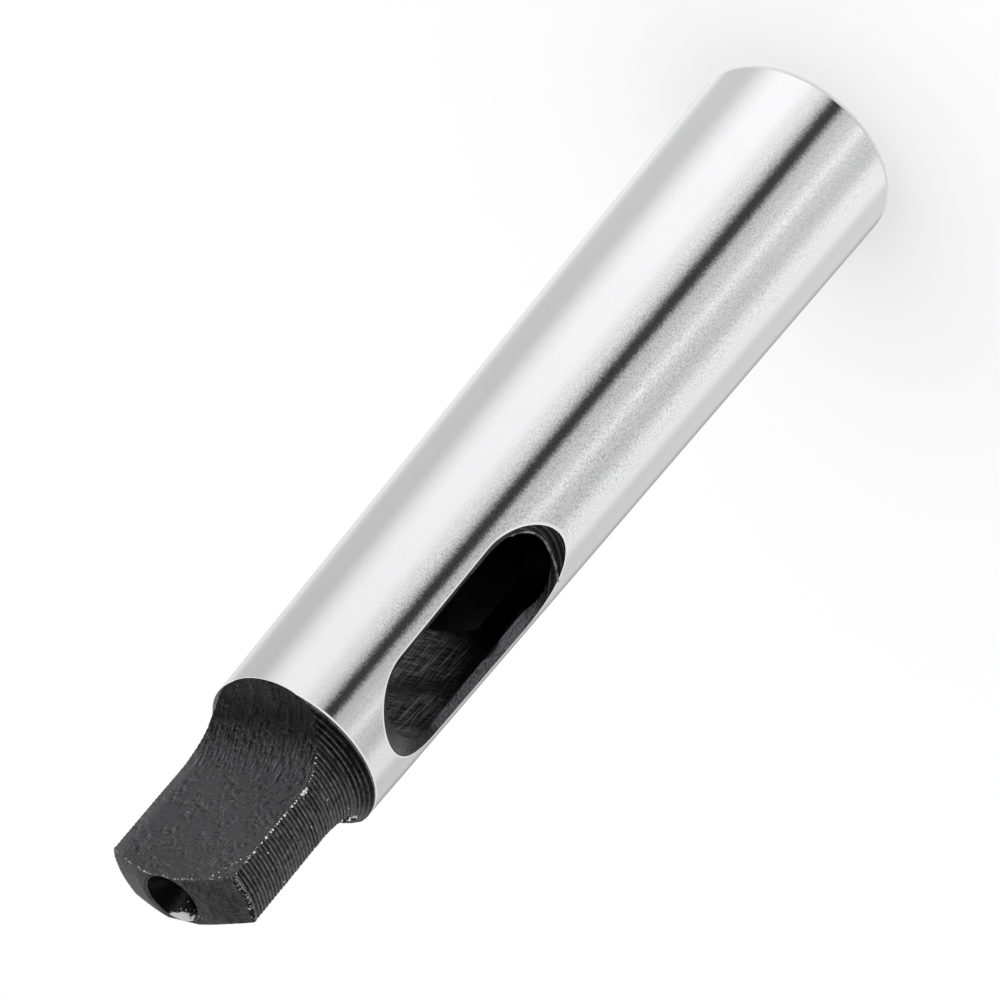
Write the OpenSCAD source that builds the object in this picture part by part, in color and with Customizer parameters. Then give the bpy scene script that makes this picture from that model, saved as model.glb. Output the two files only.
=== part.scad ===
// Morse taper sleeve, Morse 2 outside and Morse 1 inside.
// It stands on its big end: the origin is the centre of that face, +Z runs along the axis to the tang.
// The drift slot goes through along X, and the flats of the tang face along Y.

/* [Outer taper] */
// Diameter of the outer taper at its gauge line
gauge_d = 17.78; // [17.7:0.02:17.9]
// Distance from the big end to the gauge line
gauge_z = 17; // [14:0.5:18]
// Diameter that the outer taper loses for each millimetre of length
outer_rate = 0.04995; // [0.0495:0.00005:0.0505]
// Length of the ground taper, from the big end to the neck
taper_len = 76; // [75.5:0.1:76.5]
// Chamfer round the outer edge of the big end
end_chamfer = 0.4; // [0.2:0.05:0.8]

/* [Neck and tang] */
// Length of the whole sleeve
total_len = 92.2; // [91:0.1:93]
// Straight land between the ground taper and the neck's fillet
neck_land = 0.2; // [0.1:0.05:0.4]
// Radius of the fillet turned between the neck and the tang
neck_fillet_r = 4.9; // [4:0.1:6]
// Diameter that the tang is turned to
tang_d = 12.84; // [12.4:0.02:13]
// Thickness of the tang across its flats
tang_t = 4.68; // [4.5:0.02:5.2]
// Distance from the big end to where the flats start to run out
runout_z = 81.9; // [81.6:0.1:82.2]
// Radius that the cutter leaves where the flats run out
runout_r = 6.2; // [6:0.1:6.5]
// Diameter of the level part of the tang's end
nose_d = 5.6; // [5.4:0.1:6.5]
// Fall of the coned part of the tang's end, for each millimetre of radius
nose_fall = 0.39; // [0.3:0.01:0.5]

/* [Centre hole] */
// Diameter of the centre hole at the tang's end
centre_d = 4.6; // [4:0.1:5]
// Diameter of the pilot drilling below its sixty degree cone
pilot_d = 2; // [1.6:0.1:2.4]
// Depth of the pilot drilling from the tang's end, before its point
pilot_depth = 4.4; // [4:0.1:5]

/* [Socket] */
// Diameter of the tapered socket at its mouth
socket_d = 12.065; // [12:0.005:12.1]
// Diameter that the socket loses for each millimetre of depth
socket_rate = 0.04988; // [0.0495:0.00005:0.0505]
// Diameter of the plain bore below the tapered socket
relief_d = 9.7; // [9.6:0.05:9.8]
// Depth of the plain bore from the big end, before the drill's point
relief_depth = 57.1; // [56:0.1:58]
// Chamfer round the socket's mouth
mouth_chamfer = 0.5; // [0.2:0.05:0.8]

/* [Drift slot] */
// Width of the slot between its flat walls
slot_w = 6.8; // [6:0.1:7]
// Length of the slot over its round ends
slot_len = 20.9; // [20:0.1:21.5]
// Distance from the big end to the slot's near end
slot_z = 50.3; // [50:0.1:51]
// Distance from the axis to where the flared rim starts
flare_x = 6.12; // [6:0.02:6.3]
// Angle that the flared rim leans out from the slot's walls
flare_angle = 55; // [45:1:58]
// Distance that the flare's round end stays behind the slot's near end
flare_back = 1.7; // [1:0.1:2]

/* [Hidden] */
$fn = 96;
spare = 1;
drill_point_angle = 118;
centre_cone_angle = 60;
big_r = (gauge_d + gauge_z * outer_rate) / 2;
small_r = outer_r(taper_len);
tang_r = tang_d / 2;
nose_r = nose_d / 2;
neck_drop = small_r - tang_r;
neck_end_z = taper_len + neck_land + sqrt(neck_fillet_r ^ 2 - (neck_fillet_r - neck_drop) ^ 2);
nose_z = total_len - (tang_r - nose_r) * nose_fall;
mouth_r = socket_d / 2;
relief_r = relief_d / 2;
relief_z = (socket_d - relief_d) / socket_rate;
slot_r = slot_w / 2;
slot_low_z = slot_z + slot_r;
slot_high_z = slot_z + slot_len - slot_r;
flare_low_z = slot_low_z + flare_back;
flare_h = big_r + spare - flare_x;
flare_r = slot_r + flare_h * tan(flare_angle);

// Radius of the outer taper at a height above the big end
function outer_r(z) = big_r - z * outer_rate / 2;

// Height of a drill's point of the given radius
function point_h(r, angle) = r / tan(angle / 2);

// The blank as it comes off the lathe: taper, neck, tang and coned end
module turned_blank() {
    rotate_extrude()
        difference() {
            polygon([
                [0, 0],
                [big_r - end_chamfer, 0],
                [outer_r(end_chamfer), end_chamfer],
                [small_r, taper_len],
                [small_r, neck_end_z],
                [tang_r, neck_end_z],
                [tang_r, nose_z],
                [nose_r, total_len],
                [0, total_len]
            ]);
            translate([tang_r + neck_fillet_r, neck_end_z])
                circle(r = neck_fillet_r);
        }
}

// What the cutter takes from one side of the tang, with its round run-out
module flat_cut() {
    rotate([90, 0, 90])
        linear_extrude(height = 2 * (small_r + spare), center = true) {
            translate([tang_t / 2, runout_z])
                square([small_r, total_len - runout_z + spare]);
            translate([tang_t / 2 + runout_r, runout_z])
                circle(r = runout_r);
        }
}

// Tapered socket, plain bore and drill point, open at the big end
module socket_cut() {
    rotate_extrude()
        polygon([
            [0, -spare],
            [mouth_r + mouth_chamfer, -spare],
            [mouth_r + mouth_chamfer, 0],
            [mouth_r - mouth_chamfer * socket_rate / 2, mouth_chamfer],
            [relief_r, relief_z],
            [relief_r, relief_depth],
            [0, relief_depth + point_h(relief_r, drill_point_angle)]
        ]);
}

// Centre hole in the tang's end
module centre_cut() {
    translate([0, 0, total_len])
        rotate([180, 0, 0])
            rotate_extrude()
                polygon([
                    [0, -spare],
                    [centre_d / 2, -spare],
                    [centre_d / 2, 0],
                    [pilot_d / 2, point_h((centre_d - pilot_d) / 2, centre_cone_angle)],
                    [pilot_d / 2, pilot_depth],
                    [0, pilot_depth + point_h(pilot_d / 2, drill_point_angle)]
                ]);
}

// The drift slot's two flat walls and round ends, right through the sleeve
module slot_cut() {
    rotate([90, 0, 90])
        linear_extrude(height = 2 * (big_r + spare), center = true) {
            translate([-slot_r, slot_low_z])
                square([slot_w, slot_high_z - slot_low_z]);
            for (z = [slot_low_z, slot_high_z])
                translate([0, z])
                    circle(r = slot_r);
        }
}

// The flared rim of the slot on the +X side: a cone at each end and a wedge between them
module flare_cut() {
    for (z = [flare_low_z, slot_high_z])
        translate([flare_x, 0, z])
            rotate([0, 90, 0])
                cylinder(h = flare_h, r1 = slot_r, r2 = flare_r);
    translate([0, 0, flare_low_z])
        linear_extrude(height = slot_high_z - flare_low_z)
            polygon([
                [flare_x, -slot_r],
                [flare_x + flare_h, -flare_r],
                [flare_x + flare_h, flare_r],
                [flare_x, slot_r]
            ]);
}

module sleeve() {
    color("silver")
        difference() {
            turned_blank();
            for (side = [0, 180])
                rotate([0, 0, side]) {
                    flat_cut();
                    flare_cut();
                }
            slot_cut();
            socket_cut();
            centre_cut();
        }
}

sleeve();
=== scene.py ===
import math
import random

import bpy
import bmesh
from mathutils import Matrix, Vector


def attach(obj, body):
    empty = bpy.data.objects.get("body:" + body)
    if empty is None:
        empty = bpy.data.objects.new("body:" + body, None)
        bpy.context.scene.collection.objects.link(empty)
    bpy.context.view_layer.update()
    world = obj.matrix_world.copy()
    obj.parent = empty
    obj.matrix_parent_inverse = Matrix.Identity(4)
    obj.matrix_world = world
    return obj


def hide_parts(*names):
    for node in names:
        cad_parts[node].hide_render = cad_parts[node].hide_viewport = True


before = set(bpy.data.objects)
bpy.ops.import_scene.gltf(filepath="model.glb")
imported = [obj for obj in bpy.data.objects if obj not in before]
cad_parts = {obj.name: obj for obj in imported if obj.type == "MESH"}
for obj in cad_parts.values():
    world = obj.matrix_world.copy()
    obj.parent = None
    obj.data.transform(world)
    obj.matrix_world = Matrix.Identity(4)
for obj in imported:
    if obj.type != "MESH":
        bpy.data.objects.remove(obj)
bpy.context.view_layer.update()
print("frame loaded:", sorted(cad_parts))

scene = bpy.context.scene
scene.view_settings.view_transform = "Standard"


def bothWays(operation):
    # an operator and its reflected form
    return (lambda self, other: self.maths(operation, self, other),
            lambda self, other: self.maths(operation, other, self))


class Wire:
    # one socket of a shader; maths on it adds Math nodes to the same shader

    def __init__(self, shader, socket):
        self.shader, self.socket = shader, socket

    def maths(self, operation, *values):
        return self.shader.add("Math", {"operation": operation}, dict(enumerate(values)))

    __add__, __radd__ = bothWays("ADD")
    __sub__, __rsub__ = bothWays("SUBTRACT")
    __mul__, __rmul__ = bothWays("MULTIPLY")
    __truediv__, __rtruediv__ = bothWays("DIVIDE")

    def __pow__(self, other):
        return self.maths("POWER", self, other)

    def __abs__(self):
        return self.maths("ABSOLUTE", self)

    def least(self, other):
        return self.maths("MINIMUM", self, other)

    def most(self, other):
        return self.maths("MAXIMUM", self, other)

    def ramp(self, low, high, start=0.0, end=1.0):
        # smooth step from start at low to end at high
        limits = {"From Min": low, "From Max": high, "To Min": start, "To Max": end}
        return self.shader.add("MapRange", {"interpolation_type": "SMOOTHSTEP"}, {"Value": self, **limits})

    def fade(self, low, high):
        # smooth step down from 1 at low to 0 at high
        return self.ramp(low, high, 1.0, 0.0)

    def within(self, low, high, soft):
        # 1 between low and high, fading out over the soft width inside each
        return self.ramp(low, low + soft) * (1.0 - self.ramp(high - soft, high))


def diagonal(a, b):
    return (a * a + b * b) ** 0.5


class Shader:
    # the node tree of a material or of the world, filled through one method

    def __init__(self, owner):
        owner.use_nodes = True
        self.tree = owner.node_tree
        self.tree.nodes.clear()

    def add(self, kind, settings=None, sockets=None, out=0):
        node = self.tree.nodes.new("ShaderNode" + kind)
        for name, value in (settings or {}).items():
            setattr(node, name, value)
        for key, value in (sockets or {}).items():
            if isinstance(value, Wire):
                self.tree.links.new(value.socket, node.inputs[key])
            else:
                node.inputs[key].default_value = value
        if isinstance(out, tuple):
            return [Wire(self, node.outputs[name]) for name in out]
        return Wire(self, node.outputs[out]) if len(node.outputs) else node

    def mix(self, share, first, second):
        return self.add("Mix", {"data_type": "RGBA"}, {0: share, 6: first, 7: second}, out=2)

    def vector(self, operation, *values):
        return self.add("VectorMath", {"operation": operation}, dict(enumerate(values)))

    def scaled(self, vector, factor):
        return self.add("VectorMath", {"operation": "SCALE"}, {0: vector, 3: factor})

    def point(self, x=0.0, y=0.0, z=0.0):
        return self.add("CombineXYZ", None, {0: x, 1: y, 2: z})

    def grey(self, tone, cool=1.04):
        # a grey of the given tone, a little cooler than neutral
        return self.add("CombineColor", None, {0: tone, 1: tone, 2: tone * cool})

    def millimetres(self):
        # where on the piece, in millimetres of the row frame
        spot = self.add("TexCoord", out="Object")
        spot = self.vector("MULTIPLY", spot, (1000, 1000, 1000))
        return spot, *self.add("SeparateXYZ", None, {0: spot}, out=("X", "Y", "Z"))

    def noise(self, spot, rate, detail=3.0, roughness=0.6, shift=0.0):
        # rate is in grains to a millimetre, one number or one for each axis
        if not isinstance(rate, tuple):
            rate = (rate, rate, rate)
        spot = self.vector("MULTIPLY_ADD", spot, rate, (shift, shift * 1.7, shift * 0.6))
        sockets = {"Vector": spot, "Scale": 1.0, "Detail": detail, "Roughness": roughness}
        return self.add("TexNoise", None, sockets)

    def flecks(self, spot, rate, radius, edge):
        # 1 inside small scattered cells, 0 between them
        spot = self.vector("MULTIPLY", spot, (rate, rate, rate))
        sockets = {"Vector": spot, "Scale": 1.0, "Randomness": 1.0}
        away = self.add("TexVoronoi", None, sockets, out="Distance")
        return away.fade(radius - edge, radius + edge)

    def bump(self, height, depth):
        return self.add("Bump", None, {"Height": height, "Strength": 1.0, "Distance": depth * 0.001})

    def surface(self, **sockets):
        named = {"colour": "Base Color", "metal": "Metallic", "roughness": "Roughness", "normal": "Normal",
                 "gloss": "Specular IOR Level"}
        made = self.add("BsdfPrincipled", None, {named[name]: value for name, value in sockets.items()})
        self.add("OutputMaterial", None, {"Surface": made})

    def film(self, tone, worn, roughness, height):
        # black film that sends back a tone's share of the light, and bright steel where worn is 1
        black = self.grey(tone.most(blackLook["darkest"]))
        colour = self.mix(worn, black, blackLook["bare"])
        metal = 1.0 - worn * blackLook["rubbedMatt"]
        self.surface(colour=colour, metal=metal, roughness=roughness, normal=self.bump(height, 1.0))


def newMaterial(name):
    made = bpy.data.materials.new(name)
    return made, Shader(made)


def newFinish(name):
    # a material with its shader, and the place on the piece as a vector and as x, y and z in millimetres
    made, shader = newMaterial(name)
    return made, shader, *shader.millimetres()


# sizes of the sleeve in millimetres and degrees, as in its CAD model
sleeveSizes = {
    "bigRadius": 9.31458, "taperRate": 0.04995, "taperLength": 76.0, "endChamfer": 0.4, "length": 92.2,
    "neckLand": 0.2, "neckFillet": 4.9, "tangRadius": 6.42, "noseRadius": 2.8, "noseFall": 0.39,
    "tangHalf": 2.34, "runOutStart": 81.9, "runOutRadius": 6.2,
    "centreRadius": 2.3, "centreCone": 60.0, "pilotRadius": 1.0, "pilotDepth": 4.4, "drillPoint": 118.0,
    "socketRadius": 6.0325, "socketRate": 0.04988, "mouthChamfer": 0.5,
    "reliefRadius": 4.85, "reliefDepth": 57.1,
    "slotRadius": 3.4, "slotLow": 53.7, "slotHigh": 67.8,
    "flareLow": 55.4, "flareStart": 6.12, "flareAngle": 55.0,
}


# marks that the lathe tool leaves on the neck and the tang
turningMarks = {
    "first": 76.176,  # height of the first crest
    "pitch": 0.378,  # feed of the tool per turn
    "depth": 0.044,  # depth of the marks
    "uneven": 0.30,  # how much they vary
    "smooth": 77.69,  # height of the one mark that is left smooth, at the fillet's foot
    "smoothDepth": 0.006,  # and its depth
    "stop": 0.12,  # how far below the coned end they stop
    "seed": 11,
}


def size(name):
    return sleeveSizes[name]


def outerRadius(height):
    return size("bigRadius") - height * size("taperRate") / 2


def pointHeight(radius, angle):
    # height of a cone of the given angle, as on a drill's point
    return radius / math.tan(math.radians(angle / 2))


neckRadius = outerRadius(size("taperLength"))
neckEnd = size("taperLength") + size("neckLand") + math.sqrt(
    size("neckFillet") ** 2 - (size("neckFillet") - neckRadius + size("tangRadius")) ** 2)
noseStart = size("length") - (size("tangRadius") - size("noseRadius")) * size("noseFall")
flareSlope = math.tan(math.radians(size("flareAngle")))
tangCorner = math.sqrt(size("tangRadius") ** 2 - size("tangHalf") ** 2)


groundLook = {
    "tone": 0.89,
    "roughness": 0.10,
    "grainTilt": 0.06,  # how far the grinding grain turns the surface round the axis, in radians
    "ringTilt": 0.04,  # the same along the axis
    "speckle": 1.8,  # contrast of the grain's speckle on the side with painted glints
    "glintSide": 25.0,  # azimuth of the middle of that side, in degrees
    "glintFrom": (0.0, 35.0),  # heights over which it sets in
    "dullEnd": (64.0, 72.0),  # and dies out
    "highlightEdge": 0.13,  # width in mm of the painted highlight line at the neck
    "highlightRim": 0.34,  # the same round the slot
    "filmRim": 0.10,  # how far the black film reaches over the slot's rim, in mm
    "filmFrom": (52.0, 56.0),  # heights over which it starts to do so
    "filmColour": (0.05, 0.05, 0.052, 1),
    "highlightColour": (1, 1, 1, 1),
    "besideSlot": (48.0, 74.5),  # heights between which the slot's rim is looked for
    "runOutFrom": (74.8, 75.2),  # heights over which the painted highlight line round the run-outs sets in
}


def slotRim(x, y, z):
    # distance in mm outside the flared rim of the drift slot, measured in the slot's plane
    middle = (size("flareLow") + size("slotHigh")) / 2
    reach = (abs(z - middle) - (size("slotHigh") - size("flareLow")) / 2).most(0.0)
    return diagonal(y, reach) - (abs(x) - size("flareStart")) * flareSlope - size("slotRadius")


def runOutEdge(y, z):
    # distance in mm outside the round run-out of the flats
    across = abs(y) - size("tangHalf") - size("runOutRadius")
    along = (z - size("runOutStart")).least(0.0)
    return diagonal(across, along) - size("runOutRadius")


def makeGroundSteel():
    made, shader, spot, x, y, z = newFinish("groundSteel")
    look = groundLook
    radius = diagonal(x, y)
    # grinding grain: short dashes round the axis, which turn the surface a little to either side
    fine = shader.noise(spot, (4.5, 4.5, 10.0), 1.0, 0.5) - 0.5
    second = shader.noise(spot, (8.0, 8.0, 12.0), 1.0, 0.5, 4.0) - 0.5
    coarse = shader.noise(spot, (0.9, 0.9, 2.6), 2.0, 0.6, 7.0) - 0.5
    turn = (fine + second * 0.7 + coarse * 0.12) * look["grainTilt"]
    rings = shader.noise(shader.point(z), (9.0, 1.0, 1.0), 3.0, 0.7) - 0.5
    around = shader.scaled(shader.point(0.0 - y / radius, x / radius), turn)
    along = shader.point(0.0, 0.0, rings * look["ringTilt"])
    normal = shader.add("NewGeometry", out="Normal")
    normal = shader.vector("ADD", shader.vector("ADD", normal, around), along)
    normal = shader.vector("NORMALIZE", normal)
    # painted reflection: on one side the grinding grain shows as a speckle in the colour, standing in for
    # glints of the room; the grain itself is real
    side = math.radians(look["glintSide"])
    dull = ((x * math.cos(side) + y * math.sin(side)) / radius).ramp(0.80, 0.95)
    dull = dull * z.ramp(*look["glintFrom"], 0.55, 1.0) * z.ramp(*look["dullEnd"], 1.0, 0.35)
    speckle = shader.noise(spot, (5.5, 5.5, 10.0), 2.0, 0.6, 13.0) - 0.5
    # painted highlights: white lines along the edges beside the neck, the run-outs and the slot stand in for
    # light caught by those edges
    width, rimWidth = look["highlightEdge"], look["highlightRim"]
    beside = z.within(*look["besideSlot"], 0.5)
    away = slotRim(x, y, z)
    rim = away.fade(rimWidth * 0.6, rimWidth) * beside
    edge = size("taperLength") - width
    neck = z.ramp(edge - 0.08, edge)
    milled = runOutEdge(y, z).fade(0.0, width) * z.ramp(*look["runOutFrom"])
    # painted highlight lines at the slot's rim, the neck and the run-outs
    worn = rim.most(neck).most(milled)
    smudge = shader.noise(spot, (0.35, 0.35, 0.12), 3.0, 0.6, 3.0) - 0.5
    specks = shader.flecks(spot, 0.4, 0.022, 0.006)
    tone = look["tone"] * (0.98 + smudge * 0.04 + second * 0.14 + speckle * dull * look["speckle"])
    # and the black film reaches over the slot's rim
    film = away - z.ramp(*look["filmFrom"], -0.05, look["filmRim"])
    film = film.fade(-0.02, 0.03) * beside
    worn = worn * (1.0 - film)
    colour = shader.mix(worn.most(specks), shader.grey(tone, 1.012), look["highlightColour"])
    colour = shader.mix(film, colour, look["filmColour"])
    roughness = look["roughness"] + coarse * 0.05 + worn * 0.3
    shader.surface(colour=colour, metal=1.0 - worn * 0.95, roughness=roughness, normal=normal)
    return made


# black oxide film over the steel
blackLook = {
    "film": 0.095,  # share of the light that it sends back
    "darkest": 0.004,  # and the least share
    "bare": (0.95, 0.95, 0.96, 1),  # the steel where it is rubbed through
    "rubbedMatt": 0.65,  # how much of that steel scatters the light
    "rubbedFrom": (82.0, 83.0),  # heights over which the rubbed edges of the tang set in
}


turnedLook = {
    "filletEnd": (77.74, 77.84),  # heights over which the fillet's painted highlight lines die out
    "bandStart": (77.76, 77.86),  # and where the smooth paler band above them sets in
    "bandEnd": (78.20, 78.32),  # and ends
    "tail": 0.30,  # width in mm of the rubbed ring at the tang's end
}


def makeBlackTurned():
    made, shader, spot, _, y, z = newFinish("blackTurned")
    look, marks = turnedLook, turningMarks
    patches = shader.noise(spot, 0.9, 4.0, 0.6)
    grain = shader.noise(spot, (2.0, 2.0, 3.6), 3.0, 0.65, 2.0)
    turn = (z - marks["first"]) / marks["pitch"]
    crest = abs(turn.maths("FRACT", turn) - 0.5) * 2.0
    uneven = shader.noise(spot, (2.0, 2.0, 2.8), 3.0, 0.65, 19.0)
    fillet = 1.0 - z.ramp(*look["filletEnd"])
    band = z.ramp(*look["bandStart"]) * (1.0 - z.ramp(*look["bandEnd"]))
    # painted highlights: bright broken lines on the fillet's crests, on the side towards +Y only
    broken = shader.noise(spot, (0.55, 0.55, 2.6), 3.0, 0.65, 4.0)
    lines = crest.ramp(0.84, 0.98) * broken.ramp(0.42, 0.62) * fillet * y.ramp(-1.6, -0.4)
    chips = shader.flecks(spot, 1.1, 0.085, 0.02) * patches.ramp(0.45, 0.55)
    # the edge along each flat is rubbed where the turning marks stand up
    edge = (abs(y) - (size("tangHalf") - 0.07)).ramp(0.0, 0.05) * z.ramp(*blackLook["rubbedFrom"])
    edge = edge * shader.noise(spot, (2.0, 2.0, 5.0), 2.0, 0.7, 11.0).ramp(0.56, 0.66)
    tail = (z - (noseStart - look["tail"])).ramp(0.0, 0.2)
    tail = tail * shader.noise(spot, 4.5, 2.0, 0.6, 6.0).ramp(0.52, 0.60)
    worn = chips.most(edge * 0.7).most(tail * 0.4).most(lines * 0.30)
    # painted light and shade: crests of the turning marks lighter, their valleys darker
    crestShading = crest.ramp(0.1, 0.9) * uneven.ramp(0.38, 0.60, 0.05, 0.95) * (1.0 - band)
    share = 0.70 + (patches - 0.5) * 0.6 + crestShading + (grain - 0.5) * 3.2 * (1.0 - band * 0.5)
    share = (share + band * 0.85).most(0.05)
    roughness = 0.34 + (patches - 0.5) * 0.2
    shader.film(blackLook["film"] * share, worn, roughness, grain * 0.012)
    return made


milledLook = {
    "dents": 0.10,  # depth in mm of the bruises on the flats
    "torn": 0.12,  # depth of the torn marks where the run-outs end
    "streaks": 0.06,  # depth of the cutter's streaks on the run-outs
    "nudge": (0.11, 0.0, -0.10),  # step in mm between a mark's painted light side and its painted dark side
    "soft": 1.0,  # width in mm of the band of painted light along the flat's far edge, where the mottle fades
    "softFrom": (79.0, 80.5),  # heights over which that band sets in
    "runOutEnd": (77.6, 79.4),  # heights over which the streaks and the painted shade of the run-outs die out
    "tornFrom": (77.4, 78.4),  # heights over which the torn marks set in
    "tornEnd": (80.4, 82.2),  # and die out
    "curvesFrom": (78.0, 80.0),  # heights over which the long curved scratches set in
}


def makeBlackMilled():
    made, shader, spot, x, y, z = newFinish("blackMilled")
    look = milledLook
    across = x * y.maths("SIGN", y)
    patches = shader.noise(spot, 0.55, 4.0, 0.6)
    mottle = shader.noise(spot, 4.2, 3.0, 0.65, 3.0)
    clusters = shader.noise(spot, 0.6, 3.0, 0.6, 21.0).ramp(0.47, 0.58, 0.15, 1.0)
    # painted light: a paler band along the flat's far edge
    soft = (across + tangCorner).fade(look["soft"] * 0.5, look["soft"] * 1.5)
    soft = soft * z.ramp(*look["softFrom"])
    # painted light and shade on the bruises: a noise minus its shifted copy gives each a lit side and a
    # shaded side
    places = (spot, shader.vector("ADD", spot, look["nudge"]))
    dents, shaded = (shader.noise(place, (2.3, 2.3, 1.9), 3.0, 0.6, 9.0) for place in places)
    lit = (dents - shaded) * clusters
    # the same painted light and shade on torn marks where the round run-out meets the flat, drawn out along
    # the cutter's path
    foot = z.ramp(*look["tornFrom"]) * (1.0 - (z + (patches - 0.5) * 3.0).ramp(*look["tornEnd"]))
    torn, shaded = (shader.noise(place, (3.6, 1.1, 1.1), 3.0, 0.6, 14.0) for place in places)
    tornLit = (torn - shaded) * foot
    streaks = shader.noise(spot, (6.0, 0.45, 0.45), 3.0, 0.65, 2.0)
    # the run-outs, which carry the streaks and are darkened by painted shade
    runOut = 1.0 - z.ramp(*look["runOutEnd"])
    # pits, long curved scratches and short ones along the piece near the near edge
    pits = shader.flecks(spot, 1.2, 0.10, 0.04) * patches.ramp(0.44, 0.52)
    curve = abs(shader.noise(spot, (0.45, 0.45, 0.30), 2.0, 0.5, 31.0) - 0.5).fade(0.0, 0.009)
    curve = curve * shader.noise(spot, 0.8, 2.0, 0.5, 17.0).ramp(0.52, 0.62) * z.ramp(*look["curvesFrom"])
    scores = shader.noise(spot, (5.2, 1.0, 0.55), 2.0, 0.5, 5.0).ramp(0.60, 0.68)
    scores = scores * (across + 0.5).ramp(0.0, 3.0)
    scores = scores * shader.noise(spot, (0.9, 0.9, 0.5), 2.0, 0.5, 41.0).ramp(0.46, 0.58) * (1.0 - runOut)
    # rubbed edges: along the turned side and along the end, both broken
    edge = (tangCorner - across - 0.02).fade(0.0, 0.09) * z.ramp(*blackLook["rubbedFrom"])
    fall = (diagonal(x, y) - size("noseRadius")).most(0.0) * size("noseFall")
    edge = edge.most((z + fall - (size("length") - 0.09)).ramp(0.0, 0.06))
    edge = edge * shader.noise(spot, (2.6, 2.6, 3.5), 2.0, 0.7, 11.0).ramp(0.54, 0.64)
    nicks = shader.flecks(spot, 1.5, 0.05, 0.015) * patches.ramp(0.50, 0.58)
    worn = (edge * 0.8).most(nicks * 0.4).most(curve * 0.12).most(scores * 0.08)
    rough = (mottle - 0.5) * (1.0 - soft)
    share = 0.97 + rough * 1.5 + (patches - 0.5) * 0.3 + soft * 0.50
    # painted light and shade of the bruises and torn marks
    share = share + lit * 3.6 + tornLit * 4.6 + (streaks - 0.5) * runOut * 1.5 - runOut * 0.25 + foot * 0.15
    share = share.most(0.15) * (1.0 - pits * 0.8)
    height = dents * clusters * look["dents"] + torn * foot * look["torn"]
    height = height + streaks * runOut * look["streaks"] - pits * 0.02 + rough * 0.02
    roughness = 0.38 + (patches - 0.5) * 0.2 + (mottle - 0.5) * 0.2
    shader.film(blackLook["film"] * share, worn, roughness, height)
    return made


facedLook = {
    "rim": 0.34,  # width in mm of the chipped ring round the tang's end
    "flat": 0.10,  # the same along the flats
}


def makeBlackFaced():
    made, shader, spot, x, y, _ = newFinish("blackFaced")
    radius = diagonal(x, y)
    patches = shader.noise(spot, 1.1, 4.0, 0.6)
    mottle = shader.noise(spot, 4.0, 3.0, 0.6, 3.0)
    # a few faint dark rings that the facing tool left, and upright rub marks
    wander = radius + (patches - 0.5) * 0.35
    rings = shader.noise(shader.point(wander), (4.2, 1.0, 1.0), 1.0, 0.5).fade(0.33, 0.38)
    rings = rings * shader.noise(spot, 0.8, 2.0, 0.5, 5.0).ramp(0.38, 0.52)
    rubs = shader.noise(spot, (3.2, 0.5, 0.5), 3.0, 0.6, 8.0)
    # chips round the rim, along the flats and at one side of the centre hole
    chipped = shader.noise(spot, 3.0, 3.0, 0.65, 11.0)
    rim = (radius - (size("tangRadius") - facedLook["rim"])).ramp(0.0, 0.2)
    flat = (abs(y) - (size("tangHalf") - facedLook["flat"])).ramp(0.0, 0.06)
    hole = (radius - size("centreRadius")).fade(0.05, 0.5)
    hole = hole * y.fade(-1.2, 0.2) * x.ramp(0.2, 1.2)
    bright = rim.most(hole * 0.9) * chipped.ramp(0.58, 0.64)
    bright = bright.most(flat * chipped.ramp(0.55, 0.61) * 0.6)
    share = 1.02 + (mottle - 0.5) * 2.4 + (rubs - 0.5) * 2.0 + (patches - 0.5) * 0.9
    share = share * (1.0 - rings * 0.6)
    share = share * (1.0 - rim * chipped.fade(0.46, 0.54) * 0.9)
    height = patches * 0.03 + rubs * 0.02 + mottle * 0.01
    roughness = 0.40 + (patches - 0.5) * 0.25 + rings * 0.2
    shader.film(blackLook["film"] * share.most(0.1), bright, roughness, height)
    return made


wallLook = {
    "film": 0.10,  # share of the light that the wall's film sends back
    "paleFrom": (57.4, 58.6),  # heights over which the wall turns paler above its darker big-end half
    "cloud": 64.6,  # height of a darker patch
    "scores": (1.6, 4.6),  # distance in mm from the middle between which the long drift marks lie
    "scoresFrom": (57.5, 59.0),  # heights over which they set in
    "runs": (60.9, 66.9),  # heights where they are brightest
    "darkensAt": (67.6, 68.2),  # heights over which the wall darkens near the tang end
    "lightensAt": (69.0, 70.5),  # and turns paler again
    "strips": (  # strips of painted highlight on the wall beside the flare: distance from the middle, softness, heights of both ends
        (5.98, 0.08, (60.0, 60.8), (67.0, 67.6)),
        (5.72, 0.10, (53.6, 54.4), (56.0, 57.2)),
    ),
}


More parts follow.
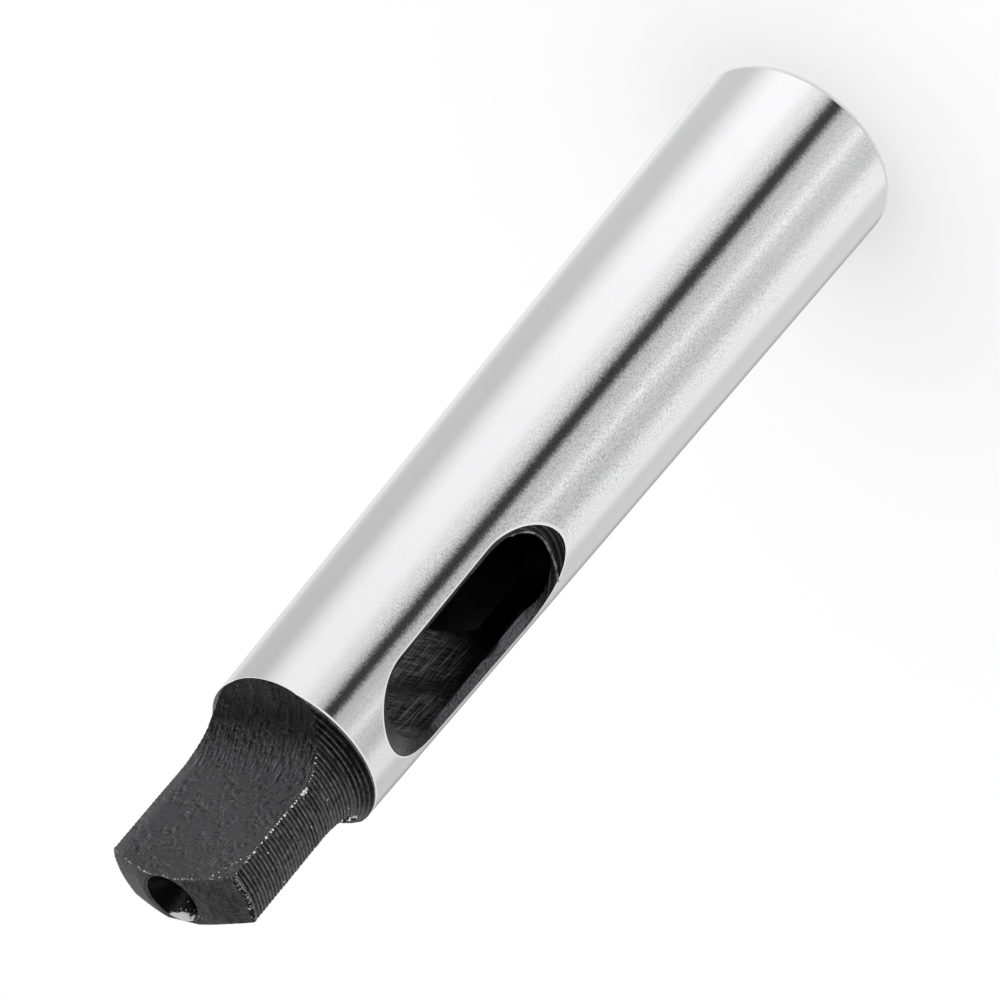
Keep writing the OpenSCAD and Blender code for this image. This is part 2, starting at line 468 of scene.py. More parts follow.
def makeSlotWall():
    made, shader, spot, x, _, z = newFinish("slotWall")
    look = wallLook
    out = abs(x)
    patches = shader.noise(spot, 0.6, 4.0, 0.6)
    hatch = shader.noise(spot, (0.5, 0.5, 7.0), 3.0, 0.7)
    swirl = shader.noise(spot, (3.5, 3.5, 0.6), 3.0, 0.6, 4.0)
    # the wall is darker over its big-end half, in one patch and near the tang end; painted shadow darkens it
    # towards the mouths, behind a boundary that slants outwards towards the tang end
    bare = (z + (patches - 0.5) * 1.5).ramp(*look["paleFrom"])
    # painted shadow: darker towards the mouths
    bare = bare * (out - (z - 58.0) * 0.35 + (patches - 0.5)).ramp(2.6, 4.4, 1.0, 0.22)
    cloud = abs(z + x * 0.25 + (patches - 0.5) * 2.0 - look["cloud"]).ramp(0.6, 1.6, 0.45, 1.0)
    end = z.ramp(*look["darkensAt"], 1.0, 0.40).most(z.ramp(*look["lightensAt"], 0.0, 0.9))
    bare = bare * cloud * end
    tilted = shader.add("VectorRotate", {"rotation_type": "Y_AXIS"}, {"Vector": spot, "Angle": 0.10})
    scores = shader.noise(tilted, (4.0, 0.6, 0.14), 2.0, 0.6, 6.0).ramp(0.53, 0.62)
    near, far = look["scores"]
    scores = scores * out.within(near - 0.8, far + 0.8, 0.8) * z.ramp(*look["scoresFrom"])
    low, high = look["runs"]
    runs = abs(z - low).fade(1.4, 2.4).most(abs(z - high).fade(1.6, 2.8))
    share = 0.62 + (hatch.ramp(0.35, 0.70) - 0.3) * 1.7 + (swirl - 0.5) * 4.2
    share = share.most(0.08) * bare + scores * runs * bare.most(0.25) * 3.0
    # painted highlight strips beside the flare
    first, second = [(out - inner).ramp(0.0, soft) * z.ramp(*start) * (1.0 - z.ramp(*stop))
                     for inner, soft, start, stop in look["strips"]]
    share = share + first.most(second) * (1.6 + (swirl - 0.5) * 2.0)
    roughness = 0.34 + (patches - 0.5) * 0.2
    shader.film(look["film"] * share, 0.0, roughness, hatch * 0.03 + swirl * 0.03)
    return made


flareLook = {
    "thick": (52.4, 53.9),  # heights over which the thick film round the big-end side thins out
    "bite": 59.0,  # height of the bite in the film at the inner edge
    "linesEnd": (57.5, 59.0),  # heights over which the cutter's rings die out
}


def makeSlotFlare():
    made, shader, spot, x, y, z = newFinish("slotFlare")
    look = flareLook
    patches = shader.noise(spot, 0.9, 4.0, 0.6)
    grain = shader.noise(spot, 5.0)
    # the cutter's rings follow the rim and show at the big-end side
    out = diagonal(y, z - z.most(size("flareLow")).least(size("slotHigh")))
    lines = shader.noise(shader.point(out + z * 0.06), (5.5, 1.0, 1.0), 2.0, 0.6).ramp(0.45, 0.65)
    lines = lines * (1.0 - z.ramp(*look["linesEnd"]))
    depth = abs(x) - size("flareStart")
    # the film is thick round the big-end side and in a bite at the inner edge; painted shade darkens the
    # tang end, most at one corner
    bite = abs(z - look["bite"]).ramp(0.5, 1.4, 0.13, 0.0)
    wavy = (depth - bite - (patches - 0.5) * 0.3 - (grain - 0.5) * 0.2).ramp(-0.04, 0.06)
    upper = z.ramp(*look["thick"], 0.36, 0.92)
    corner = z.ramp(67.0, 68.0) * (y * x.maths("SIGN", x)).fade(-2.9, -1.5)
    share = (1.70 + (grain - 0.5) * 5.5 + (patches - 0.5) * 1.4) * wavy.most(0.12) * upper
    # painted shade: darker towards the tang end and at one corner
    share = share * z.ramp(67.0, 69.0, 1.0, 0.64) * (1.0 - corner * 0.55)
    share = share + lines * z.ramp(*look["thick"], 1.7, 1.0)
    roughness = 0.42 + (patches - 0.5) * 0.2
    shader.film(blackLook["film"] * share.most(0.08), 0.0, roughness, grain * 0.015 + lines * 0.03)
    return made


boreLook = {
    "shadeDepths": (24.0, 44.0),  # heights over which painted shade darkens the socket deeper in, short of the drilled part
}


def makeSocketBore():
    # reamed taper of the socket: finely ringed bright steel, darkened deeper in by painted shade
    made, shader, spot, _, _, z = newFinish("reamedBore")
    rings = shader.noise(shader.point(z), (7.0, 1.0, 1.0), 3.0, 0.7)
    patches = shader.noise(spot, (0.5, 0.5, 0.3))
    # painted shade deeper in the socket
    tone = (0.50 + patches.ramp(0.3, 0.7) * 0.12) * z.ramp(*boreLook["shadeDepths"], 1.0, 0.02)
    colour = shader.grey(tone, 1.01)
    roughness = 0.24 + (rings - 0.5) * 0.2
    shader.surface(colour=colour, metal=1.0, roughness=roughness, normal=shader.bump(rings, 0.02))
    return made


def makeDrilled():
    # drilled holes keep the black finish and the drill's rings
    made, shader, spot, *_ = newFinish("drilledBore")
    rings = shader.noise(spot, (0.4, 0.4, 5.0), 3.0, 0.7)
    patches = shader.noise(spot, 0.8)
    colour = shader.grey(0.005 + patches.ramp(0.3, 0.7) * 0.006)
    roughness = 0.50 + (rings - 0.5) * 0.2
    shader.surface(colour=colour, gloss=0.1, roughness=roughness, normal=shader.bump(rings, 0.04))
    return made


seatLook = {
    "toward": (-0.03, -1.0),  # side of the centre hole that the lathe centre rubbed bright
    "from": 1.82,  # how far to that side the bright patch starts, in mm
    "deep": 0.60,  # how far down it reaches, in mm
    "ragged": 1.3,  # how far its edges wander, in mm
}


def makeCentreSeat():
    # the sixty degree seat is black, with a ragged bright patch where the lathe centre bore on it
    made, shader, spot, x, y, z = newFinish("centreSeat")
    look = seatLook
    rings = shader.noise(spot, (0.8, 0.8, 9.0), 3.0, 0.7)
    torn = shader.noise(spot, 2.4, 4.0, 0.65)
    ragged = (torn - 0.5) * look["ragged"]
    toward = x * look["toward"][0] + y * look["toward"][1]
    edge = size("length") - look["deep"] + ragged
    patch = (toward + ragged - look["from"]).ramp(0.0, 0.12) * (z - edge).ramp(0.0, 0.12)
    specks = shader.flecks(spot, 2.6, 0.16, 0.04) * (toward + x * 0.9).ramp(0.9, 1.5)
    worn = patch.most(specks * 0.6)
    share = (0.45 + (rings - 0.5) * 0.8).most(0.05)
    roughness = 0.32 + (rings - 0.5) * 0.2
    shader.film(blackLook["film"] * share, worn, roughness, torn * patch * 0.10 + rings * 0.02)
    return made


def makeBareSteel():
    # torn bright steel: most of it scatters the light, so that it shows white all round
    made, shader, spot, *_ = newFinish("bareSteel")
    grain = shader.noise(spot, 7.0)
    colour = shader.grey(0.72 + grain.ramp(0.3, 0.6) * 0.26, 1.0)
    roughness = 0.30 + (grain - 0.5) * 0.2
    shader.surface(colour=colour, metal=0.15, roughness=roughness, normal=shader.bump(grain, 0.03))
    return made


def makeRolledBurr():
    made, shader, spot, *_ = newFinish("rolledBurr")
    grain = shader.noise(spot, 1.2)
    colour = shader.grey(0.10 + grain.ramp(0.35, 0.6) * 0.40, 1.01)
    roughness = 0.34 + (grain - 0.5) * 0.3
    shader.surface(colour=colour, metal=0.7, roughness=roughness, normal=shader.bump(grain, 0.05))
    return made


finishes = {
    "ground": makeGroundSteel(), "turned": makeBlackTurned(), "milled": makeBlackMilled(),
    "faced": makeBlackFaced(), "wall": makeSlotWall(), "flare": makeSlotFlare(), "bore": makeSocketBore(),
    "drilled": makeDrilled(), "seat": makeCentreSeat(), "bare": makeBareSteel(), "rolled": makeRolledBurr(),
}
print("finishes made:", len(finishes))


# mesh helpers work in millimetres
def newSolid(name, points, faces, marks, kinds):
    # marks gives each face's finish, by its place in kinds
    mesh = bpy.data.meshes.new(name)
    mesh.from_pydata(points, [], faces)
    for kind in kinds:
        mesh.materials.append(finishes[kind])
    mesh.polygons.foreach_set("material_index", [kinds.index(mark) for mark in marks])
    made = bpy.data.objects.new(name, mesh)
    scene.collection.objects.link(made)
    return made


def turnSolid(name, outline, steps):
    # revolves (radius, height, finish) points into a closed solid; each finish holds up to the next point
    points, rings = [], []
    for radius, height, _ in outline:
        if radius < 1e-9:
            rings.append([len(points)])
            points.append((0.0, 0.0, height))
        else:
            rings.append(list(range(len(points), len(points) + steps)))
            for k in range(steps):
                turn = 2 * math.pi * k / steps
                points.append((radius * math.cos(turn), radius * math.sin(turn), height))
    faces, marks = [], []
    for (low, high), (_, _, finish) in zip(zip(rings, rings[1:]), outline):
        for k in range(steps):
            after = (k + 1) % steps
            if len(low) == 1:
                faces.append((low[0], high[after], high[k]))
            elif len(high) == 1:
                faces.append((low[k], low[after], high[0]))
            else:
                faces.append((low[k], low[after], high[after], high[k]))
            marks.append(finish)
    return newSolid(name, points, faces, marks, sorted(set(marks)))


def loftSolid(name, loops, finish):
    # joins closed loops of equal length, and caps the ends
    count = len(loops[0])
    points = [point for loop in loops for point in loop]
    faces = []
    for k in range(0, len(points) - count, count):
        for m in range(count):
            after = (m + 1) % count
            faces.append((k + m, k + after, k + count + after, k + count + m))
    faces.append(tuple(range(count))[::-1])
    faces.append(tuple(range(len(points) - count, len(points))))
    return newSolid(name, points, faces, [finish] * len(faces), [finish])


def carve(body, cutters):
    # takes the cutters out of the body, one after the other, and keeps each one's finish on what it cuts
    for cutter in cutters:
        step = body.modifiers.new(cutter.name, "BOOLEAN")
        step.operation, step.solver, step.object = "DIFFERENCE", "EXACT", cutter
        step.material_mode = "TRANSFER"
    graph = bpy.context.evaluated_depsgraph_get()
    mesh = bpy.data.meshes.new_from_object(body.evaluated_get(graph))
    body.modifiers.clear()
    for cutter in cutters:
        bpy.data.objects.remove(cutter)
    body.data = mesh
    return body


def neckPoint(height):
    # point on the turned neck and tang at a height, and the direction into the steel
    fillet = size("neckFillet")
    if height <= size("taperLength") + size("neckLand"):
        return neckRadius, (-1.0, 0.0)
    if height < neckEnd:
        turn = math.asin((neckEnd - height) / fillet)
        return size("tangRadius") + fillet * (1 - math.cos(turn)), (-math.cos(turn), -math.sin(turn))
    return size("tangRadius"), (-1.0, 0.0)


def turnedSkin():
    # scalloped tool marks along the neck and the tang, cut inwards so that their crests stay on the CAD skin
    marks, rng = turningMarks, random.Random(turningMarks["seed"])
    shares = (0.0, 0.14, 0.32, 0.5, 0.68, 0.86)  # where the points of a mark lie along its pitch
    skin, start = [], marks["first"]
    while start + marks["pitch"] < noseStart - marks["stop"]:
        depth = marks["depth"] * (1 + rng.uniform(-1, 1) * marks["uneven"])
        if abs(start - marks["smooth"]) < marks["pitch"] / 4:
            depth = marks["smoothDepth"]
        for share in shares:
            height = start + marks["pitch"] * share
            radius, (inward, up) = neckPoint(height)
            dig = depth * (1 - (2 * share - 1) ** 2)
            skin.append((radius + inward * dig, height + up * dig, "turned"))
        start += marks["pitch"]
    skin.append((size("tangRadius"), start, "turned"))
    skin.append((size("tangRadius"), noseStart - marks["stop"], "turned"))
    return skin


def creasePoint(height):
    # where the milled side of the tang meets its turned side at a height, for positive x and y
    rise = size("tangHalf")
    if height < size("runOutStart"):
        bend = size("runOutRadius")
        rise += bend - math.sqrt(bend ** 2 - (size("runOutStart") - height) ** 2)
    return math.sqrt(neckPoint(height)[0] ** 2 - rise ** 2), rise


def endHeight(x, y):
    # height of the tang's coned end above a point
    return size("length") - max(0.0, math.hypot(x, y) - size("noseRadius")) * size("noseFall")


stockDetail = {
    "steps": 256,  # faces round the sleeve
    "rings": 24,  # rings of faces on the taper
    "ringGap": 3.0,  # height between them
    "lastRing": 1.5,  # distance of the last one from the neck
    "endFace": 1.2,  # width of the inner ring of faces at the big end
    "neckEdge": 0.06,  # height of the broken edge between the taper and the neck
    "neckDrop": 0.03,  # and how far it is set in
    "tangEdge": 0.08,  # width of the broken edge between the tang and its end
    "endRings": 5,  # rings of faces on the coned end
}


def makeStock():
    detail = stockDetail
    big, chamfer, top = size("bigRadius"), size("endChamfer"), size("taperLength")
    tang, nose, edge = size("tangRadius"), size("noseRadius"), detail["tangEdge"]
    radii = (0.0, size("socketRadius") + detail["endFace"], big - chamfer)
    outline = [(radius, 0.0, "ground") for radius in radii]
    heights = [chamfer] + [k * detail["ringGap"] for k in range(1, detail["rings"] + 1)]
    heights += [top - detail["lastRing"], top - detail["neckEdge"]]
    outline += [(outerRadius(height), height, "ground") for height in heights]
    outline += [(outerRadius(top) - detail["neckDrop"], top - 0.01, "turned")]
    outline += turnedSkin()
    for k in range(detail["endRings"] + 1):
        radius = tang - edge + (nose - tang + edge) * k / detail["endRings"]
        outline.append((radius, endHeight(radius, 0.0), "faced"))
    outline.append((0.0, size("length"), "faced"))
    return turnSolid("sleeveBody", outline, detail["steps"])


def obround(x, radius, low, steps=48):
    # closed loop of the slot's outline: two half circles joined by straight sides
    turns = [math.pi * k / steps for k in range(steps + 1)]
    high = size("slotHigh")
    upper = [(x, -radius * math.cos(turn), high + radius * math.sin(turn)) for turn in turns]
    return upper + [(x, radius * math.cos(turn), low - radius * math.sin(turn)) for turn in turns]


cutSpare = 1.0  # how far the cutters stand out of the steel, in mm


def flatCutters():
    # what the milling cutter takes off each side of the tang, with its round run-out
    half, start, bend = size("tangHalf"), size("runOutStart"), size("runOutRadius")
    high, wide, along = 94.5, 10.5, 9.0  # how far it reaches up, out and along X
    section = [(half, high), (half, start)]
    for turn in map(math.radians, range(2, 101, 2)):
        section.append((half + bend - bend * math.cos(turn), start - bend * math.sin(turn)))
    section += [(wide, section[-1][1]), (wide, high)]
    cutters = []
    for side in (1, -1):
        loops = [[(x, side * y, z) for y, z in section] for x in (-side * along, side * along)]
        cutters.append(loftSolid("flatCutter", loops, "milled"))
    return cutters


def slotCutters():
    # the slot's flat walls and round ends, and the flared rim at each of its mouths
    radius, start = size("slotRadius"), size("flareStart")
    reach = size("bigRadius") + cutSpare
    core = [obround(x, radius, size("slotLow"))[::-1] for x in (-reach, reach)]
    cutters = [loftSolid("slotCutter", core, "wall")]
    for side in (1, -1):
        flare = [obround(side * x, radius + (x - start) * flareSlope, size("flareLow"))[::-side]
                 for x in (start - cutSpare, reach)]
        cutters.append(loftSolid("flareCutter", flare, "flare"))
    return cutters


def socketCutter():
    mouth, chamfer, relief = size("socketRadius"), size("mouthChamfer"), size("reliefRadius")
    reliefStart, depth = (mouth - relief) * 2 / size("socketRate"), size("reliefDepth")
    return turnSolid("socketCutter", [
        (0.0, -cutSpare, "bore"), (mouth + chamfer, -cutSpare, "bore"), (mouth + chamfer, 0.0, "bore"),
        (mouth - chamfer * size("socketRate") / 2, chamfer, "bore"), (relief, reliefStart, "drilled"),
        (relief, depth, "drilled"), (0.0, depth + pointHeight(relief, size("drillPoint")), "drilled")], 128)


def centreCutter():
    top, pilot, wide = size("length"), size("pilotRadius"), size("centreRadius")
    bottom, seatEnd = top - size("pilotDepth"), top - pointHeight(wide - pilot, size("centreCone"))
    return turnSolid("centreCutter", [
        (0.0, bottom - pointHeight(pilot, size("drillPoint")), "drilled"), (pilot, bottom, "drilled"),
        (pilot, seatEnd, "seat"), (wide, top, "seat"), (wide, top + cutSpare, "seat"),
        (0.0, top + cutSpare, "seat")], 96)


burrLook = {
    "seed": 5,
    "bead": 0.10,  # radius in mm of the raised bead where a turning mark meets a flat
    "lump": 0.13,  # radius of the larger torn lumps
    "lip": 0.11,  # radius of the lip rolled over at the near end of the drift slot
    "edges": (  # side in x and in y, how many of the marks have a bead, height of the first
        (1, 1, 1.0, 78.7),
        (1, -1, 0.10, 82.4),
        (-1, 1, 0.0, 84.0),
        (-1, -1, 0.4, 80.5),
    ),
    "small": 80.5,  # height below which the beads are smaller
    "sparse": (86.5, 89.8),  # heights between which they are fewer
    "tornSpot": (10, 81.45, 0.16),  # lumps in the torn spot at the run-out's end, its height and spread
    # bright chips on the lower ledge: how many, heights, how far in along X, how far along Y, radii
    "chips": (34, (76.9, 79.2), (-0.06, 0.36), (-0.10, 0.16), (0.06, 0.14)),
    "crumbs": (20, (77.2, 79.6), (0.02, 0.44), (-0.02, -0.24), (0.10, 0.17)),  # black crumbs among them
    "knock": (18, 1.9, 2.4),  # lumps along the near corner's knock, its reach along the end and down, in mm
    "rimChips": 9,  # on each turned side
    "lipTurn": (-50, 76),  # where the lip starts and ends round the slot's end, in degrees
}


def randomVector(rng):
    return Vector((rng.uniform(-1, 1), rng.uniform(-1, 1), rng.uniform(-1, 1)))


def addLump(work, rng, spot, radius):
    # a torn bead: a small ball, stretched, turned and dented at random, kept below the tang's end
    axis = randomVector(rng).normalized()
    stretch = Matrix.Diagonal((rng.uniform(0.6, 1.4), rng.uniform(0.7, 1.2), rng.uniform(0.7, 1.4), 1.0))
    place = Matrix.Translation(spot) @ Matrix.Rotation(rng.uniform(0, 6.28), 4, axis) @ stretch
    made = bmesh.ops.create_icosphere(work, subdivisions=2, radius=radius, matrix=place)
    for vert in made["verts"]:
        vert.co += randomVector(rng) * radius * 0.22
        vert.co.z = min(vert.co.z, size("length"))


def tangEdgeBurrs(work, rng):
    # beads where the turning marks meet the milled sides, thickest on the near edge of the upper flat
    look = burrLook
    low, high = look["sparse"]
    count, middle, spread = look["tornSpot"]
    for xSide, ySide, share, height in look["edges"]:
        while height < noseStart - 0.1:
            dense = 0.75 if height < low or height > high else 0.25
            x, y = creasePoint(height)
            if rng.random() < share * dense:
                spot = (xSide * (x + 0.01), ySide * (y - rng.uniform(0.0, 0.05)), height)
                radius = look["bead"] * rng.uniform(0.35, 1.15) * (0.8 if height < look["small"] else 1.0)
                addLump(work, rng, spot, radius)
            height += turningMarks["pitch"] * rng.uniform(0.6, 1.0)
        for _ in range(round(count * share * share)):
            # one torn spot at the end of the run-out
            height = middle + rng.gauss(0, spread)
            x, y = creasePoint(height)
            spot = (xSide * (x - rng.uniform(-0.20, 0.08)), ySide * (y - rng.uniform(-0.04, 0.16)), height)
            addLump(work, rng, spot, look["lump"] * rng.uniform(0.35, 0.9))


def ledgeLumps(work, rng, count, heights, inX, inY, radii):
    # torn steel on the lower ledge, where the run-out leaves the neck
    for _ in range(count):
        height = rng.uniform(*heights)
        x, y = creasePoint(height)
        spot = (x - rng.uniform(*inX), -y + rng.uniform(*inY), height)
        addLump(work, rng, spot, rng.uniform(*radii))


def ledgeChips(work, rng):
    ledgeLumps(work, rng, *burrLook["chips"])


def ledgeCrumbs(work, rng):
    ledgeLumps(work, rng, *burrLook["crumbs"])


def endEdgeBurrs(work, rng):
    look, corner, half = burrLook, tangCorner, size("tangHalf")
    count, inward, downward = look["knock"]
    for ySide, share in ((1, 1.0), (-1, 0.6)):
        # a ragged line of bare steel along the end of the flat
        x = -corner + 1.2
        while x < corner:
            if rng.random() < 0.42 * share:
                y, z = half - rng.uniform(0.0, 0.05), endHeight(x, half) - rng.uniform(0.02, 0.12)
                addLump(work, rng, (x, ySide * y, z), look["bead"] * rng.uniform(0.2, 0.65))
            x += rng.uniform(0.05, 0.34)
        # the near corner was knocked, and a broken lip of steel cuts across it from edge to edge
        for _ in range(round(count * share)):
            along = rng.uniform(0.0, 1.0)
            x = corner - inward * (1 - along) - 0.12 * math.sin(math.pi * along) + rng.uniform(-0.07, 0.07)
            spot = (x, ySide * half, endHeight(x, half) - 0.1 - downward * along + rng.uniform(-0.07, 0.07))
            addLump(work, rng, spot, look["bead"] * rng.uniform(0.2, 0.6))
    for side in (1, -1):
        # chips round the rim between the end and the turned side
        for _ in range(look["rimChips"]):
            turn = rng.uniform(-0.36, 0.36)
            radius = size("tangRadius") - rng.uniform(-0.01, 0.16)
            height = noseStart - rng.uniform(-0.02, 0.14)
            spot = (side * radius * math.cos(turn), radius * math.sin(turn), height)
            addLump(work, rng, spot, look["bead"] * rng.uniform(0.2, 0.55))


def slotLip(work, rng):
    # rolled lip where the slot's round end cuts into its flared rim, on the big-end side of both mouths
    radius = size("slotRadius")
    start, end = burrLook["lipTurn"]
    steps, sides = 48, 8
    for side in (1, -1):
        rings = []
        for k in range(steps + 1):
            turn = math.radians(start + (end - start) * k / steps)
            y, z = radius * math.sin(turn), size("slotLow") - radius * math.cos(turn)
            # one end of the lip runs out across the flare
            away = Vector((0, y, z - size("flareLow")))
            out = away.length + 0.5 * max(0.0, -turn / 0.7) ** 1.5
            away = away.normalized() * out
            x = size("flareStart") + (out - radius) / flareSlope
            middle = Vector((side * x, side * away.y, size("flareLow") + away.z))
            thick = burrLook["lip"] * (0.55 + 0.45 * math.cos(turn)) * rng.uniform(0.75, 1.2)
            inward = Vector((0, -side * math.sin(turn), math.cos(turn)))
            rings.append([middle + (Vector((side * math.cos(a), 0, 0)) + inward * math.sin(a)) * thick
                          for a in (2 * math.pi * m / sides for m in range(sides))])
        verts = [[work.verts.new(spot) for spot in ring] for ring in rings]
        for low, high in zip(verts, verts[1:]):
            for m in range(sides):
                after = (m + 1) % sides
                work.faces.new((low[m], low[after], high[after], high[m]))
        work.faces.new(verts[0])
        work.faces.new(verts[-1])


def addForms(body, finish, makers):
    # puts small extra forms of one finish on the body
    rng = random.Random(burrLook["seed"])
    work = bmesh.new()
    for maker in makers:
        maker(work, rng)
    bmesh.ops.recalc_face_normals(work, faces=work.faces)
    extra = bpy.data.meshes.new("extra")
    work.to_mesh(extra)
    work.free()
    mesh = body.data
    mesh.materials.append(finishes[finish])
    whole = bmesh.new()
    whole.from_mesh(mesh)
    before = len(whole.faces)
    whole.from_mesh(extra)
    whole.faces.ensure_lookup_table()
    for face in whole.faces[before:]:
        face.material_index = len(mesh.materials) - 1
    whole.to_mesh(mesh)
    whole.free()
    bpy.data.meshes.remove(extra)


def idealNormal(kind, spot, face):
    # the true normal of the turned, milled or drilled form at a point, or None where the face's own will do
    x, y, z = spot
    around = math.hypot(x, y)
    upright = abs(face.z) < 0.2  # a side of the form, and not its chamfer, end or drill point
    if kind == "ground" and upright:
        return Vector((x / around, y / around, size("taperRate") / 2)).normalized()
    if kind == "milled":
        if z >= size("runOutStart") - 1e-4:
            return Vector((0, math.copysign(1, face.y), 0))
        side = math.copysign(1, y)
        away = Vector((0, side * (size("tangHalf") + size("runOutRadius")) - y, size("runOutStart") - z))
        return away.normalized()
    if kind in ("wall", "flare"):
        middle = min(max(z, size("slotLow" if kind == "wall" else "flareLow")), size("slotHigh"))
        flat = Vector((0, -y, middle - z)).normalized()
        if kind == "wall":
            return flat
        tilt = math.radians(size("flareAngle"))
        return (flat * math.cos(tilt) + Vector((math.copysign(math.sin(tilt), x), 0, 0))).normalized()
    if kind in ("bore", "drilled") and upright:
        rise = -size("socketRate") / 2 if kind == "bore" else 0
        return Vector((-x / around, -y / around, rise)).normalized()
    return None


def dressNormals(mesh):
    # smooth faces meet sharply over a wide angle or where the finish changes; regular forms get true normals
    sharp, nearTrue = math.radians(25), 0.97
    kindOf = {finishes[kind].name: kind for kind in finishes}
    kinds = [kindOf[slot.name] for slot in mesh.materials]
    work = bmesh.new()
    work.from_mesh(mesh)
    for face in work.faces:
        face.smooth = True
    for edge in work.edges:
        faces = edge.link_faces
        edge.smooth = (len(faces) == 2 and faces[0].material_index == faces[1].material_index
                       and edge.calc_face_angle(0.0) < sharp)
    work.to_mesh(mesh)
    work.free()
    mesh.update()
    normals = []
    for face in mesh.polygons:
        kind = kinds[face.material_index]
        for loop in face.loop_indices:
            spot = mesh.vertices[mesh.loops[loop].vertex_index].co
            true = idealNormal(kind, spot, face.normal)
            normals.append(true if true is not None and true.dot(face.normal) > nearTrue else (0, 0, 0))
    mesh.normals_split_custom_set(normals)


stock = makeStock()
print("stock turned:", len(stock.data.polygons), "faces")
sleeve = carve(stock, flatCutters() + slotCutters() + [socketCutter(), centreCutter()])
print("slot, flats, socket and centre hole cut:", len(sleeve.data.polygons), "faces")
addForms(sleeve, "bare", [tangEdgeBurrs, endEdgeBurrs, ledgeChips])
addForms(sleeve, "drilled", [ledgeCrumbs])
addForms(sleeve, "rolled", [slotLip])
dressNormals(sleeve.data)
sleeve.data.transform(Matrix.Scale(0.001, 4))
sleeve.name = sleeve.data.name = "turnedSleeve"
triangles = sum(len(face.vertices) - 2 for face in sleeve.data.polygons)
print("sleeve dressed:", triangles, "triangles,", [slot.name for slot in sleeve.data.materials])
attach(sleeve, "root")
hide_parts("sleeve")


studio = {
    "wall": 0.65,  # brightness of the pale room that the metal reflects
    "panels": [  # azimuth, half width and softness in degrees, brightness
        (158.0, 26.0, 12.0, 0.605),
        (205.0, 16.0, 14.0, 0.85),
        (94.0, 31.0, 22.0, 1.01),
        (60.0, 8.0, 10.0, 0.82),
        (47.0, 8.0, 9.0, 0.43),
        (30.0, 6.0, 6.0, 0.53),
        (41.0, 7.5, 4.5, 0.045),
        (5.0, 6.0, 5.0, 0.835),
        (-18.0, 9.0, 7.0, 0.60),
        (-49.0, 17.0, 9.0, 0.86),
        (-128.0, 16.0, 12.0, 0.38),
    ],
    "slats": (5.0, 38.0, 0.30, 0.50),  # middle and half width in degrees, slats to a degree, depth
    "skew": 0.45,  # how much brighter the room is below its middle line, and darker above
    "skewLine": (31.0, 30.0),  # how far below the horizon that line is, and how far off the change is full
    "ceiling": [  # azimuth and elevation of the middle, half width, softness, brightness
        (140.0, 58.0, 40.0, 22.0, 0.03),
        (225.0, 35.0, 42.0, 16.0, 0.50),
        (-45.0, 25.0, 52.0, 18.0, 0.12),
        (15.0, 30.0, 58.0, 14.0, 0.04),
    ],
    "ceilingWall": 0.55,
    "ceilingFrom": (-20.0, 0.0),  # elevations over which the ceiling takes over from the wall
    "fill": 0.85,  # even light for matt surfaces
    "keyPower": 0.55,
    "keySize": 0.6,
    "keyPlace": (-0.10, 0.45, 0.55),
    "keyAim": (0, 0, 0.06),
    "floor": (0.80, 0.80, 0.80, 1),
    "floorLift": 0.29,  # light that the floor adds of its own, for the camera only
    "floorHalf": 4.0,
    "floorGap": 0.00002,  # how far it lies below the sleeve, so that their faces don't meet
}


def makeWorld():
    world = bpy.data.worlds.new("studioRoom")
    scene.world = world
    shader = Shader(world)
    toward = shader.add("TexCoord", out="Generated")
    x, y, z = shader.add("SeparateXYZ", None, {0: toward}, out=("X", "Y", "Z"))
    degrees = 180 / math.pi
    azimuth = x.maths("ARCTAN2", y, x) * degrees
    elevation = x.maths("ARCSINE", z) * degrees
    level = shader.add("Value")
    level.socket.default_value = studio["wall"]
    for centre, width, soft, bright in studio["panels"]:
        away = abs(azimuth.maths("WRAP", azimuth - centre, 180.0, -180.0))
        share = away.fade(width - soft, width + soft)
        level = level + (bright - level) * share
    middle, half, rate, depth = studio["slats"]
    ripple = shader.noise(shader.point(azimuth * rate), 1.0, 2.0, 0.6) - 0.5
    level = level * (1.0 + ripple * (abs(azimuth - middle).fade(half - 8.0, half + 8.0) * depth))
    line, reach = studio["skewLine"]
    below = ((elevation + line) * (-1 / reach)).least(1.0).most(-1.0)
    level = level * (1.0 + below * studio["skew"])
    high = shader.add("Value")
    high.socket.default_value = studio["ceilingWall"]
    for centre, height, width, soft, bright in studio["ceiling"]:
        across = azimuth.maths("WRAP", azimuth - centre, 180.0, -180.0)
        share = diagonal(across, elevation - height).fade(width - soft, width + soft)
        high = high + (bright - high) * share
    level = level + (high - level) * elevation.ramp(*studio["ceilingFrom"])
    isCamera, isGlossy = shader.add("LightPath", out=("Is Camera Ray", "Is Glossy Ray"))
    strength = studio["fill"] + (level - studio["fill"]) * isGlossy
    strength = strength + (1.0 - strength) * isCamera
    made = shader.add("Background", None, {"Color": (1, 1, 1, 1), "Strength": strength})
    shader.add("OutputWorld", None, {"Surface": made})


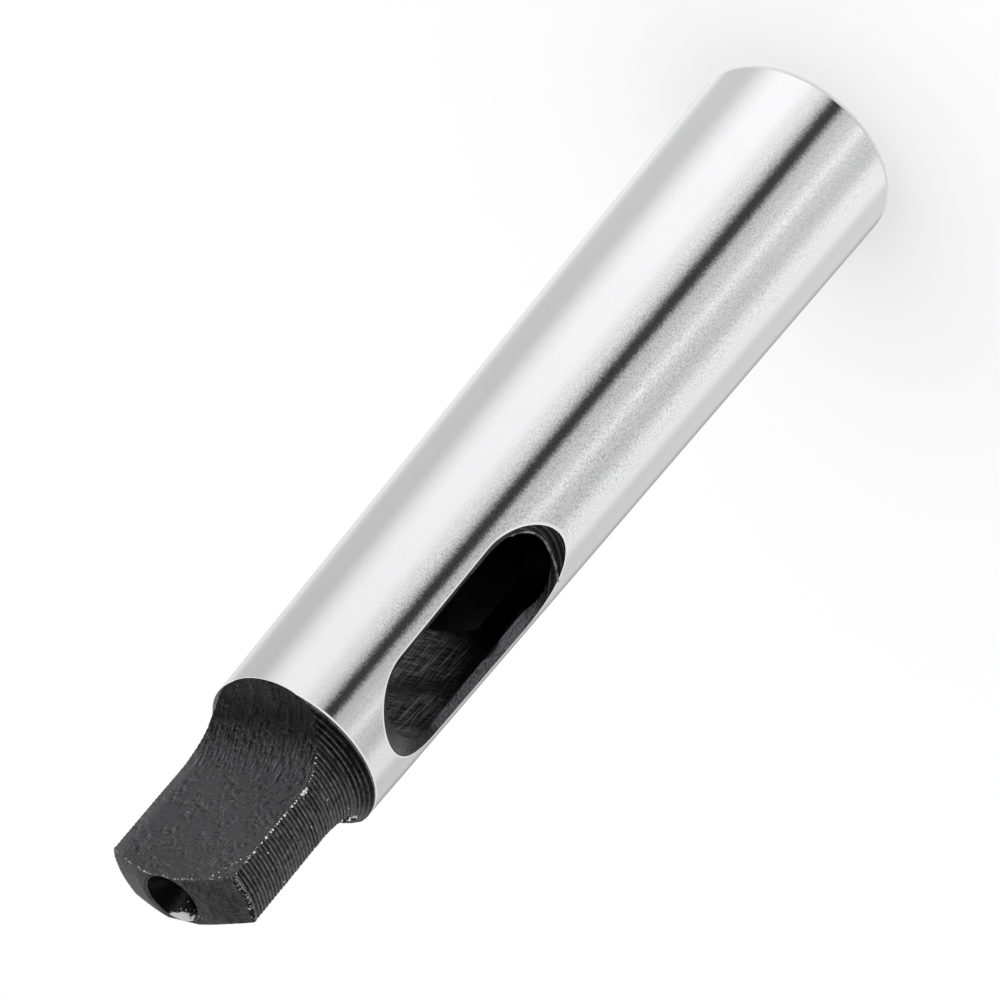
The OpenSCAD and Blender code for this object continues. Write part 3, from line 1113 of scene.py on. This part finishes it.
def makeFloor():
    half = studio["floorHalf"]
    mesh = bpy.data.meshes.new("studioFloor")
    corners = [(-half, -half, 0), (half, -half, 0), (half, half, 0), (-half, half, 0)]
    mesh.from_pydata(corners, [], [(0, 1, 2, 3)])
    floor = bpy.data.objects.new("studioFloor", mesh)
    floor.location.z = -studio["floorGap"]
    scene.collection.objects.link(floor)
    made, shader = newMaterial("paleFloor")
    isCamera = shader.add("LightPath", out="Is Camera Ray")
    lift = isCamera * studio["floorLift"]
    matt = shader.add("BsdfDiffuse", None, {"Color": studio["floor"]})
    glow = shader.add("Emission", None, {"Color": (1, 1, 1, 1), "Strength": lift})
    both = shader.add("AddShader", None, {0: matt, 1: glow})
    shader.add("OutputMaterial", None, {"Surface": both})
    mesh.materials.append(made)
    floor.visible_glossy = False  # the metal reflects the room instead, so that its streaks run clean


def makeKeyLight():
    light = bpy.data.lights.new("softbox", "AREA")
    light.shape, light.size, light.size_y = "RECTANGLE", studio["keySize"], studio["keySize"]
    light.energy = studio["keyPower"]
    made = bpy.data.objects.new("softbox", light)
    made.location = Vector(studio["keyPlace"])
    toward = Vector(studio["keyAim"]) - made.location
    made.rotation_mode = "QUATERNION"
    made.rotation_quaternion = toward.to_track_quat("-Z", "Y")
    made.visible_glossy = False  # the metal reflects only the room
    scene.collection.objects.link(made)


# stands where the photograph was taken from: 34 degrees above, rolled so that the tang comes forward
photoCamera = {
    "focalPixels": 4765.99,
    "pictureWidth": 1000,  # of the photograph, in pixels
    "sensorWidth": 36.0,
    "place": (0.22980, 0.21693, 0.25597),
    "right": (0.784501, -0.316323, -0.533384),  # the picture's own directions
    "down": (0.129867, -0.757244, 0.640091),
    "forward": (-0.606377, -0.571421, -0.552979),
}


def makeCamera():
    look = photoCamera
    data = bpy.data.cameras.new("photoCamera")
    data.sensor_width = look["sensorWidth"]
    data.sensor_fit = "HORIZONTAL"
    data.lens = look["focalPixels"] / look["pictureWidth"] * look["sensorWidth"]
    data.clip_start, data.clip_end = 0.01, 20.0
    made = bpy.data.objects.new("photoCamera", data)
    right, down, forward = (Vector(look[name]) for name in ("right", "down", "forward"))
    turn = Matrix((right, -down, -forward)).transposed().to_4x4()
    made.matrix_world = Matrix.Translation(look["place"]) @ turn
    scene.collection.objects.link(made)
    scene.camera = made


makeCamera()
makeWorld()
makeFloor()
makeKeyLight()
print("studio set")
